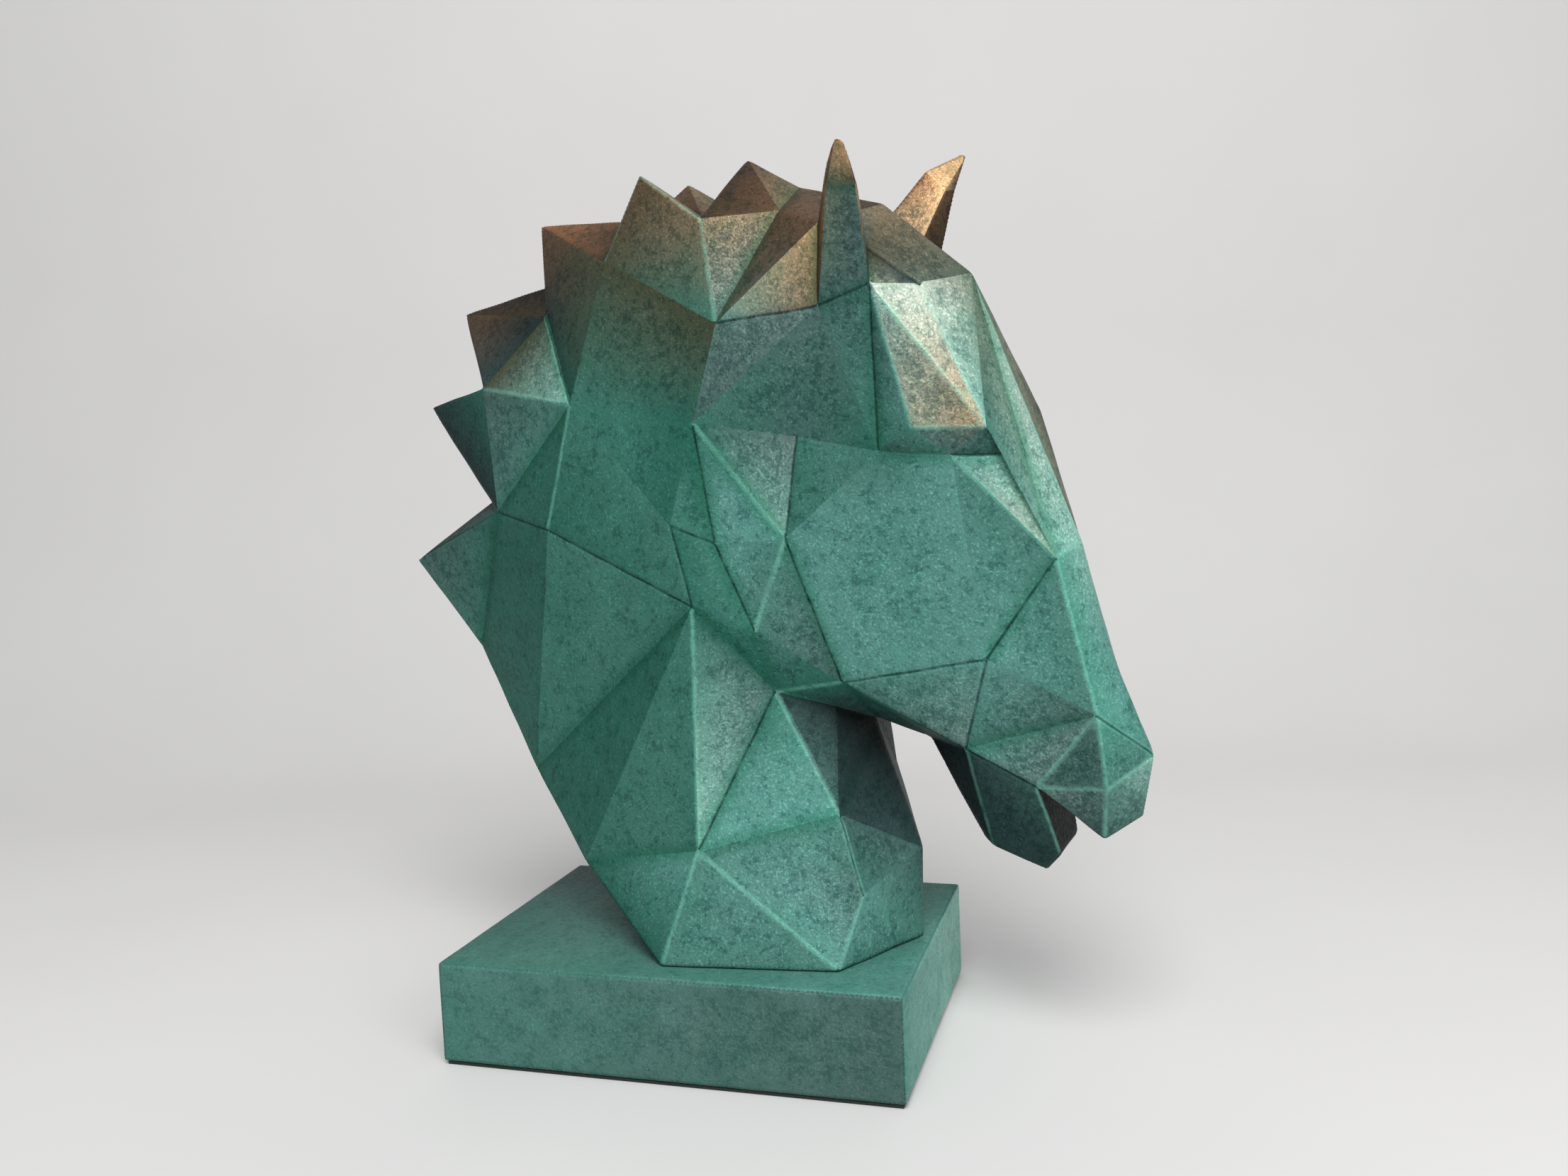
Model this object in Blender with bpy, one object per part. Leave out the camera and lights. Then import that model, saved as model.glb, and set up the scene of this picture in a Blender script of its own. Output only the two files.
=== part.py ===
"""A faceted horse head on a low plinth, as a table sculpture.

The horse looks along +X, its right side faces -Y, and +Z is up.
The origin is on the underside, below the middle of the plinth.
Three pieces: the bust, the plinth, and a thin sheet glued under the plinth.
"""

import math

import bmesh
import bpy
from mathutils import Matrix, Vector

MM = 0.001

# Driving sizes, in millimetres.
BUST_HEIGHT = 306
PLINTH_HEIGHT = 40
FRONT_LEDGE = 3.5
BACK_LEDGE = 69
SIDE_LEDGE = 7.5
PLINTH_EDGE_ROUND = 1.6
SHEET_THICKNESS = 1.2
SHEET_INSET = 1.5
JOINT_GAP = 0.3
ROUND_SEGMENTS = 3

# The head turns towards its right shoulder and leans that way, in degrees.
FOOT_TURN = -4.5
HEAD_TURN = -13
HEAD_LEAN = 8

# The bust is drawn this tall, then scaled to BUST_HEIGHT. It turns about a point in the neck.
DRAWN_HEIGHT = 306
TURN_CENTRE = Vector((46, 0, 185))

# Landmarks in drawn millimetres: forward of the foot's back corners, out to the side, up.
# One that lies out to the side stands for a pair, one on each side of the horse.
HEAD = {
    "poll": (90, 0, 282),
    "forehead": (122, 0, 254),
    "bridge": (156, 0, 156),
    "nose_dip": (163.5, 0, 117),
    "nose_tip": (178, 0, 76),
    "lip_middle": (173, 0, 52),
    "temple": (110, 20, 252),
    "ear_front": (96, 31, 254),
    "ear_back": (77, 35, 248),
    "ear_inner": (93, 24, 266),
    "ear_root": (77, 28, 277),
    "brow_outer": (111, 40, 204),
    "brow_inner": (134, 29, 202),
    "eye_back": (96, 36, 196),
    "eye_low": (122, 33, 193),
    "eye_front": (138, 22, 191),
    "cheek_top": (65, 38, 203),
    "cheek_back": (55, 37, 165),
    "cheek_low": (125, 23, 117),
    "jaw_corner": (68, 28, 107),
    "nasal": (151, 15, 153),
    "nostril": (163, 18, 96),
    "mouth_back": (112, 18, 80),
    "mouth_front": (139, 18, 67),
    "lip_side": (164, 15, 67),
    "lip_low": (161, 12, 46),
    "jaw_root": (90, 0, 77),
    "heel_middle": (110, 0, 36),
    "heel": (115, 6, 36),
    "chin": (136.5, 7, 29),
    "lower_lip": (144, 11, 38),
    "throat": (67, 0, 84),
    "under_jaw": (61.5, 22, 95.5),
    "jaw_back": (41, 33, 104),
}
MANE = {
    "nape": (53, 0, 293),
    "nape_side": (53, 20, 283),
    "valley_1": (10, 0, 287),
    "valley_2": (-14, 0, 289),
    "valley_3": (-64, 0, 268),
    "valley_4": (-102, 0, 227),
    "valley_5": (-109, 0, 177),
    "crest_end": (-124.5, 0, 111),
    "side_spike": (-6, 19, 303.5),
    "crown_side": (24, 28, 283),
    "ear_behind": (31, 36, 244),
    "mane_high": (-22, 25, 272),
    "mane_notch": (-60, 14, 254),
    "mane_bump": (-93, 18, 227),
    "mane_mid": (-40, 32, 218),
    "mane_low": (-94, 16, 174),
    "mane_seam": (-55, 35, 168),
}
NECK = {
    "neck_top": (19, 38, 208),
    "neck_patch_back": (9, 45, 170),
    "neck_patch_front": (24, 38, 162),
    "neck_hollow": (37, 36, 128),
    "neck_bulge": (16, 46, 139),
}
SHOULDER = {
    "back_low": (-83.5, 12, 60.5),
    "back_foot": (-46.5, 36, 29.5),
    "breast": (14, 50, 43),
}
THROAT = {
    "gullet": (66, 33, 56),
    "front_middle": (87, 0, 33),
}
FOOT = {
    "foot_front_side": (75, 33, 26),
    "foot_back": (-23.5, 0, 0),
    "foot_back_corner": (1, 57.5, 0),
    "foot_side": (68.5, 45.5, 0),
    "foot_front": (89, 0, 0),
}
# How much of the head's turn and lean each group of landmarks takes.
TURN_SHARES = (
    (HEAD, 1.0),
    (MANE, 0.6),
    (NECK, 0.6),
    (THROAT, 0.5),
    (SHOULDER, 0.3),
    (FOOT, 0.0),
)

# Teeth of the mane along the crest: the two valleys, the height and the sweep down the neck.
CREST_TEETH = {
    "tooth_1": ("nape", "valley_1", 16, -2.5),
    "tooth_2": ("valley_2", "valley_3", 24, 21),
    "tooth_3": ("valley_3", "valley_4", 30, 11),
    "tooth_4": ("valley_4", "valley_5", 34, -14),
    "tooth_5": ("valley_5", "crest_end", 40, 2),
}

# The ear's corners at its bend, and the two corners of its blunt tip.
EAR_BEND = {
    "bend_root": (90, 43, 294.5),
    "bend_back": (88, 42, 287),
    "bend_front": (101, 45, 286),
    "bend_inner": (99, 39, 286),
}
EAR_TIP = {
    "tip_back": (100, 56, 300),
    "tip_front": (103, 55, 299),
}
EAR_BASE = ("ear_root", "ear_back", "ear_front", "ear_inner")

# Facets, each a fan of triangles from its first corner. A star marks the landmark on the far side.
FACETS = {
    "crown": (
        "poll forehead temple ear_inner",
        "ear_inner temple ear_front",
        "poll ear_inner ear_root nape",
    ),
    "brow": (
        "temple forehead brow_inner",
        "temple brow_inner ear_front",
        "ear_front brow_inner brow_outer",
        "ear_front brow_outer eye_back",
        "ear_back ear_front eye_back",
    ),
    "eye": (
        "eye_low brow_outer brow_inner",
        "eye_low eye_back brow_outer",
        "eye_low brow_inner eye_front",
    ),
    "nose": (
        "forehead bridge nasal brow_inner",
        "brow_inner nasal eye_front",
        "nasal bridge nose_dip",
        "nasal nose_dip nostril",
        "nostril nose_dip nose_tip",
    ),
    "cheek": (
        "eye_back eye_low cheek_low jaw_corner cheek_back",
        "eye_low eye_front nasal",
        "eye_low nasal cheek_low",
        "ear_back eye_back cheek_top neck_top",
        "cheek_top eye_back cheek_back",
        "neck_top cheek_top cheek_back",
    ),
    "muzzle": (
        "nasal nostril cheek_low",
        "cheek_low nostril mouth_back",
        "cheek_low mouth_back jaw_corner",
        "mouth_back nostril mouth_front",
        "nostril lip_side mouth_front",
        "mouth_front lip_side lip_low",
        "nostril nose_tip lip_side",
        "lip_side nose_tip lip_middle lip_low",
        "mouth_front lip_low lip_middle",
        "lip_middle mouth_front* mouth_front",
    ),
    "lower jaw": (
        "mouth_front lower_lip lower_lip* mouth_front*",
        "mouth_back mouth_front lower_lip chin heel",
        "jaw_root mouth_back heel heel_middle",
        "heel_middle heel chin",
        "heel_middle chin chin*",
        "chin lower_lip lower_lip* chin*",
        "jaw_root jaw_corner mouth_back",
        "throat jaw_corner jaw_root",
        "throat under_jaw jaw_corner",
        "jaw_back jaw_corner under_jaw",
    ),
    "throat": (
        "jaw_back under_jaw gullet",
        "throat front_middle gullet under_jaw",
        "gullet front_middle foot_front_side",
        "foot_front_side front_middle foot_front",
        "foot_front_side foot_front foot_side",
    ),
    "neck": (
        "jaw_back gullet breast",
        "breast gullet foot_front_side foot_side",
        "breast foot_side foot_back_corner",
        "breast foot_back_corner back_foot",
        "neck_bulge jaw_back breast",
        "neck_bulge breast back_foot",
        "neck_bulge neck_hollow jaw_back",
        "neck_hollow jaw_corner jaw_back",
        "neck_hollow cheek_back jaw_corner",
        "neck_patch_front cheek_back neck_hollow",
        "neck_top cheek_back neck_patch_front",
        "neck_top neck_patch_front neck_patch_back",
        "neck_patch_back neck_patch_front neck_hollow neck_bulge",
        "mane_mid neck_top neck_patch_back",
        "mane_mid neck_patch_back neck_bulge mane_seam",
        "mane_high ear_behind neck_top mane_mid",
        "ear_behind ear_back neck_top",
        "ear_behind ear_root ear_back",
        "nape_side ear_root ear_behind",
        "nape_side nape ear_root",
    ),
    "mane": (
        "crown_side nape_side ear_behind",
        "side_spike crown_side ear_behind mane_high",
        "tooth_1 nape nape_side",
        "tooth_1 nape_side crown_side",
        "tooth_1 crown_side valley_1",
        "side_spike valley_1 crown_side",
        "side_spike valley_2 valley_1",
        "side_spike mane_high valley_2",
        "tooth_2 valley_2 mane_high",
        "mane_high mane_mid mane_notch tooth_2",
        "tooth_2 mane_notch valley_3",
        "tooth_3 valley_3 mane_notch",
        "tooth_3 mane_notch mane_bump",
        "tooth_3 mane_bump valley_4",
        "mane_bump mane_notch mane_mid",
        "mane_bump mane_mid mane_low",
        "mane_mid mane_seam mane_low",
        "tooth_4 valley_4 mane_bump",
        "tooth_4 mane_bump mane_low",
        "tooth_4 mane_low valley_5",
        "tooth_5 valley_5 mane_low",
        "tooth_5 mane_low crest_end",
    ),
    "back": (
        "mane_low mane_seam back_low crest_end",
        "mane_seam neck_bulge back_low",
        "back_low neck_bulge back_foot",
        "crest_end back_low foot_back",
        "back_low back_foot foot_back",
        "back_foot foot_back_corner foot_back",
    ),
    "underside": (
        "foot_back foot_back_corner foot_side foot_front",
    ),
}

PATINA_GREEN = (0.10, 0.33, 0.25)
PLINTH_GREEN = (0.09, 0.34, 0.25)
SHEET_DARK = (0.03, 0.05, 0.045)


def clear_scene():
    for thing in list(bpy.data.objects):
        bpy.data.objects.remove(thing)


def paint(name, colour, roughness, metallic):
    material = bpy.data.materials.new(name)
    material.use_nodes = True
    shader = material.node_tree.nodes["Principled BSDF"]
    shader.inputs["Base Color"].default_value = (*colour, 1)
    shader.inputs["Roughness"].default_value = roughness
    shader.inputs["Metallic"].default_value = metallic
    return material


def add_object(name, mesh, material):
    thing = bpy.data.objects.new(name, mesh)
    bpy.context.scene.collection.objects.link(thing)
    mesh.materials.append(material)
    return thing


def turned(point, share):
    """A drawn point, turned and leaned about the neck by its share of the head's pose."""
    turn = math.radians(FOOT_TURN + (HEAD_TURN - FOOT_TURN) * share)
    lean = math.radians(HEAD_LEAN * share)
    rotation = Matrix.Rotation(turn, 3, "Z") @ Matrix.Rotation(lean, 3, "X")
    return TURN_CENTRE + rotation @ (point - TURN_CENTRE)


def tooth_tip(front, back, height, sweep):
    """The tip of a crest tooth that stands on the line from its front valley to its back one."""
    front, back = Vector(front), Vector(back)
    down = (back - front).normalized()
    out = Vector((down.z, 0, -down.x))
    return (front + back) / 2 + height * out + sweep * down


def drawn_landmarks():
    """Every landmark with its share of the turn, by name. The far side's names end with a star."""
    tips = {name: tooth_tip(MANE[front], MANE[back], height, sweep)
            for name, (front, back, height, sweep) in CREST_TEETH.items()}
    groups = TURN_SHARES + ((tips, 0.6), (EAR_BEND, 1.0), (EAR_TIP, 1.0))
    placed = {}
    for group, share in groups:
        for name, (forward, out, up) in group.items():
            placed[name] = turned(Vector((forward, -out, up)), share)
            if out:
                placed[name + "*"] = turned(Vector((forward, out, up)), share)
    return placed


def ear_facets():
    """The ear's four sides from its base to its bend, then from the bend to the blunt tip."""
    bend = tuple(EAR_BEND)
    facets = []
    for i in range(len(bend)):
        j = (i + 1) % len(bend)
        facets.append(f"{EAR_BASE[i]} {EAR_BASE[j]} {bend[j]} {bend[i]}")
    root, back, front, inner = bend
    facets += [f"{root} {back} tip_back", f"{back} {front} tip_front tip_back",
               f"{front} {inner} tip_front", f"{inner} {root} tip_back tip_front"]
    return facets


def triangles(facets):
    """The fans of triangles of the facets, with a mirrored copy of each that lies on one side."""
    for facet in facets:
        first, *rest = facet.split()
        for second, third in zip(rest, rest[1:]):
            yield first, second, third
            if "*" not in facet:
                yield tuple(name + "*" for name in (first, third, second))


def make_bust(material, foot_height, foot_x):
    """The head, neck and mane as one closed solid on its foot."""
    scale = BUST_HEIGHT / DRAWN_HEIGHT
    landmarks = drawn_landmarks()
    facets = [facet for group in FACETS.values() for facet in group] + ear_facets()
    bm = bmesh.new()
    corners = {}
    for name, point in landmarks.items():
        corners[name] = bm.verts.new((point * scale + Vector((foot_x, 0, foot_height))) * MM)
    for names in triangles(facets):
        # A landmark on the middle line has no far twin, so its starred name falls back to itself.
        found = [corners.get(name) or corners[name.rstrip("*")] for name in names]
        if len(set(found)) == 3 and not bm.faces.get(found):
            bm.faces.new(found)
    bmesh.ops.recalc_face_normals(bm, faces=bm.faces)
    mesh = bpy.data.meshes.new("bust")
    bm.to_mesh(mesh)
    bm.free()
    return add_object("bust", mesh, material)


def make_slab(name, length, depth, height, middle, bottom, material):
    """A plain rectangular slab standing on the height called bottom."""
    bm = bmesh.new()
    bmesh.ops.create_cube(bm, size=1)
    size = Matrix.Diagonal((length * MM, depth * MM, height * MM, 1))
    bmesh.ops.transform(bm, matrix=size, verts=bm.verts)
    mesh = bpy.data.meshes.new(name)
    bm.to_mesh(mesh)
    bm.free()
    slab = add_object(name, mesh, material)
    slab.location = (middle * MM, 0, (bottom + height / 2) * MM)
    return slab


def round_edges(thing, width):
    bevel = thing.modifiers.new("rounded edges", "BEVEL")
    bevel.width = width * MM
    bevel.segments = ROUND_SEGMENTS
    bevel.limit_method = "ANGLE"


def main():
    clear_scene()
    scale = BUST_HEIGHT / DRAWN_HEIGHT
    foot_back = FOOT["foot_back"][0] * scale
    foot_front = FOOT["foot_front"][0] * scale
    foot_width = 2 * FOOT["foot_back_corner"][1] * scale
    plinth_length = BACK_LEDGE + foot_front - foot_back + FRONT_LEDGE
    plinth_depth = foot_width + 2 * SIDE_LEDGE
    plinth_bottom = SHEET_THICKNESS + JOINT_GAP
    foot_height = plinth_bottom + PLINTH_HEIGHT + JOINT_GAP
    foot_x = plinth_length / 2 - FRONT_LEDGE - foot_front

    make_slab("bottom_sheet", plinth_length - 2 * SHEET_INSET, plinth_depth - 2 * SHEET_INSET,
              SHEET_THICKNESS, 0, 0, paint("dark card", SHEET_DARK, 0.8, 0))
    plinth = make_slab("plinth", plinth_length, plinth_depth, PLINTH_HEIGHT, 0, plinth_bottom,
                       paint("plinth paint", PLINTH_GREEN, 0.55, 0.15))
    round_edges(plinth, PLINTH_EDGE_ROUND)
    make_bust(paint("patina paint", PATINA_GREEN, 0.5, 0.25), foot_height, foot_x)


main()
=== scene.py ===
import math

import bmesh
import bpy
import numpy as np
from mathutils import Matrix, Vector, noise
from mathutils.geometry import delaunay_2d_cdt


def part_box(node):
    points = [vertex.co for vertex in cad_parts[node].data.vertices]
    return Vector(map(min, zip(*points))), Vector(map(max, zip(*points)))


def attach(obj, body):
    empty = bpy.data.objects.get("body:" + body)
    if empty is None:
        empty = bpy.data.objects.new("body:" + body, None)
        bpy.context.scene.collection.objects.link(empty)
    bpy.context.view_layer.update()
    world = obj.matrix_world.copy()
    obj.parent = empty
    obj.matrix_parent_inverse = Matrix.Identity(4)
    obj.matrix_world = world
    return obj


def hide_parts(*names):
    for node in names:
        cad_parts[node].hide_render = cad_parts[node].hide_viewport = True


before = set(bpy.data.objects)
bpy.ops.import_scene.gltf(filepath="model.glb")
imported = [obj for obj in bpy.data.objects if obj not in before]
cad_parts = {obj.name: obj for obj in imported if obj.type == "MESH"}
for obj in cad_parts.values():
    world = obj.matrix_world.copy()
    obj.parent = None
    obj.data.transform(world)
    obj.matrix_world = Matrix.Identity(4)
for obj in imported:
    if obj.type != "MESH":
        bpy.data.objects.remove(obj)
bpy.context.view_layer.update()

MM = 0.001

# The camera, fitted to the plinth's corners: place in millimetres, and turns in degrees.
CAMERA_PLACE = (183.7, -502.7, 226.2)
CAMERA_TURN = 16.27
CAMERA_DIP = -5.43
CAMERA_ROLL = 0.80
SENSOR_WIDTH = 36
FOCAL_LENGTH = 30.11

# The head turns towards its right shoulder and leans that way, in degrees, about a point in the neck,
# as in the solid.
FOOT_TURN = -4.5
HEAD_TURN = -13
HEAD_LEAN = 8
TURN_CENTRE = Vector((46, 0, 185))

# The plinth's front end lies this far ahead of the landmarks' zero, in millimetres.
DRAWN_ZERO_TO_PLINTH_END = 92.5

# Landmarks in millimetres: forward of the foot's back corners, out to the side, up.
# Each group is keyed by its share of the turn and lean.
LANDMARKS = {
    1.0: {
        "poll": (90, 0, 282), "forehead": (122, 0, 254), "bridge": (156, 0, 156), "nose_dip": (163.5, 0, 117),
        "nose_tip": (178, 0, 76), "lip_middle": (173, 0, 52), "temple": (110, 20, 252),
        "ear_front": (96, 31, 254), "ear_back": (77, 35, 248), "ear_inner": (93, 24, 266),
        "ear_root": (77, 28, 277), "brow_outer": (111, 40, 204), "brow_inner": (134, 29, 202),
        "eye_back": (96, 36, 196), "eye_low": (122, 33, 193), "eye_front": (138, 22, 191),
        "cheek_top": (65, 38, 203), "cheek_back": (55, 37, 165), "cheek_low": (125, 23, 117),
        "jaw_corner": (68, 28, 107), "nasal": (151, 15, 153), "nostril": (163, 18, 96),
        "mouth_back": (112, 18, 80), "mouth_front": (139, 18, 67), "lip_side": (164, 15, 67),
        "lip_low": (161, 12, 46), "jaw_root": (90, 0, 77), "heel_middle": (110, 0, 36),
        "heel": (115, 6, 36), "chin": (136.5, 7, 29), "lower_lip": (144, 11, 38),
        "throat": (67, 0, 84), "under_jaw": (61.5, 22, 95.5), "jaw_back": (41, 33, 104),
        "bend_root": (90, 43, 294.5), "bend_back": (88, 42, 287), "bend_front": (101, 45, 286),
        "bend_inner": (99, 39, 286), "tip_back": (100, 56, 300), "tip_front": (103, 55, 299),
    },
    0.6: {
        "nape": (53, 0, 293), "nape_side": (53, 20, 283), "valley_1": (10, 0, 287),
        "valley_2": (-14, 0, 289), "valley_3": (-64, 0, 268), "valley_4": (-102, 0, 227),
        "valley_5": (-109, 0, 177), "crest_end": (-124.5, 0, 111), "side_spike": (-6, 19, 303.5),
        "crown_side": (24, 28, 283), "ear_behind": (31, 36, 244), "mane_high": (-22, 25, 272),
        "mane_notch": (-60, 14, 254), "mane_bump": (-93, 18, 227), "mane_mid": (-40, 32, 218),
        "mane_low": (-94, 16, 174), "mane_seam": (-55, 35, 168), "neck_top": (19, 38, 208),
        "neck_patch_back": (9, 45, 170), "neck_patch_front": (24, 38, 162),
        "neck_hollow": (37, 36, 128), "neck_bulge": (16, 46, 139), "tooth_1": (34.5, 0, 306),
        "tooth_2": (-68, 0, 292), "tooth_3": (-113, 0, 260), "tooth_4": (-137, 0, 221),
        "tooth_5": (-157, 0, 150),
    },
    0.5: {"gullet": (66, 33, 56), "front_middle": (87, 0, 33)},
    0.3: {"back_low": (-83.5, 12, 60.5), "back_foot": (-46.5, 36, 29.5), "breast": (14, 50, 43)},
    0.0: {
        "foot_front_side": (75, 33, 26), "foot_back": (-23.5, 0, 0), "foot_back_corner": (1, 57.5, 0),
        "foot_side": (68.5, 45.5, 0), "foot_front": (89, 0, 0),
    },
}

# Edges of the solid that lie inside one smooth facet of the real surface.
SMOOTH_EDGES = """
ear_behind-side_spike nasal-nose_dip nostril-nose_dip mane_mid-neck_bulge breast-foot_front_side
mane_high-neck_top cheek_top-ear_back poll-temple bend_inner-ear_front lower_lip-mouth_back
back_low-mane_low lip_middle-lip_side eye_back-jaw_corner mane_high-mane_notch cheek_low-eye_back
chin-mouth_back neck_hollow-neck_patch_back bend_back-ear_root bend_root-ear_inner
ear_back-bend_front bend_back-tip_front bend_inner-tip_back
""".split()

# Joints between the folded sheets: a thin dark line. A facet on it that holds the corner named
# after the colon has a raised lip along it.
SEAMS = """
ear_inner-temple:poll ear_back-ear_front:ear_root ear_front-eye_back:brow_outer
eye_low-eye_front:nasal cheek_top-cheek_back:eye_back nasal-cheek_low:nostril
cheek_low-mouth_back:jaw_corner nostril-nose_tip:bridge mouth_back-mouth_front:nostril
neck_top-neck_patch_front:cheek_back neck_patch_front-neck_hollow:cheek_back
neck_patch_back-neck_bulge:neck_hollow neck_patch_back-neck_patch_front:neck_hollow
mane_low-mane_seam:mane_mid mane_seam-neck_bulge:neck_patch_back jaw_back-breast:gullet
gullet-foot_front_side:breast ear_behind-ear_back:ear_root cheek_low-jaw_corner:mouth_back
cheek_back-jaw_corner:eye_back mane_notch-mane_mid:mane_bump
""".split()

# Paints by name: red, green and blue as a screen shows them, then metal, dark speckle and light
# speckle. The light speckle sets how many painted highlights, bright flecks of light caught by the
# grain, a paint gets.
PAINTS = {
    "black": (14, 20, 20, 0.0, 0.0, 0.0),
    "ink": (28, 44, 45, 0.1, 0.2, 0.0),
    "night": (46, 68, 68, 0.1, 0.3, 0.1),
    "deep": (30, 80, 69, 0.0, 0.1, 0.0),
    "green": (42, 97, 84, 0.1, 0.1, 0.1),
    "leaf": (64, 117, 104, 0.1, 0.1, 0.1),
    "emerald": (80, 148, 132, 0.1, 0.0, 0.2),
    "sea": (78, 126, 116, 0.2, 0.2, 0.2),
    "jade": (94, 148, 138, 0.2, 0.1, 0.3),
    "teal": (68, 102, 96, 0.3, 0.4, 0.3),
    "slate": (84, 112, 107, 0.5, 0.5, 0.5),
    "steel": (106, 132, 126, 0.5, 0.7, 0.8),
    "mint": (136, 184, 170, 0.3, 0.2, 0.5),
    "pale": (176, 188, 174, 0.3, 0.2, 0.5),
    "sage": (128, 134, 116, 0.4, 0.4, 0.4),
    "bronze": (136, 119, 94, 0.6, 0.5, 0.4),
    "tan": (160, 136, 108, 0.6, 0.3, 0.4),
    "gold": (214, 174, 128, 0.8, 0.2, 0.2),
    "copper": (150, 104, 72, 0.6, 0.4, 0.1),
    "brown": (94, 71, 53, 0.3, 0.3, 0.1),
    "umber": (62, 50, 37, 0.2, 0.3, 0.1),
    "olive": (74, 76, 58, 0.3, 0.4, 0.2),
    "moss": (86, 98, 86, 0.4, 0.4, 0.3),
}
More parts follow.
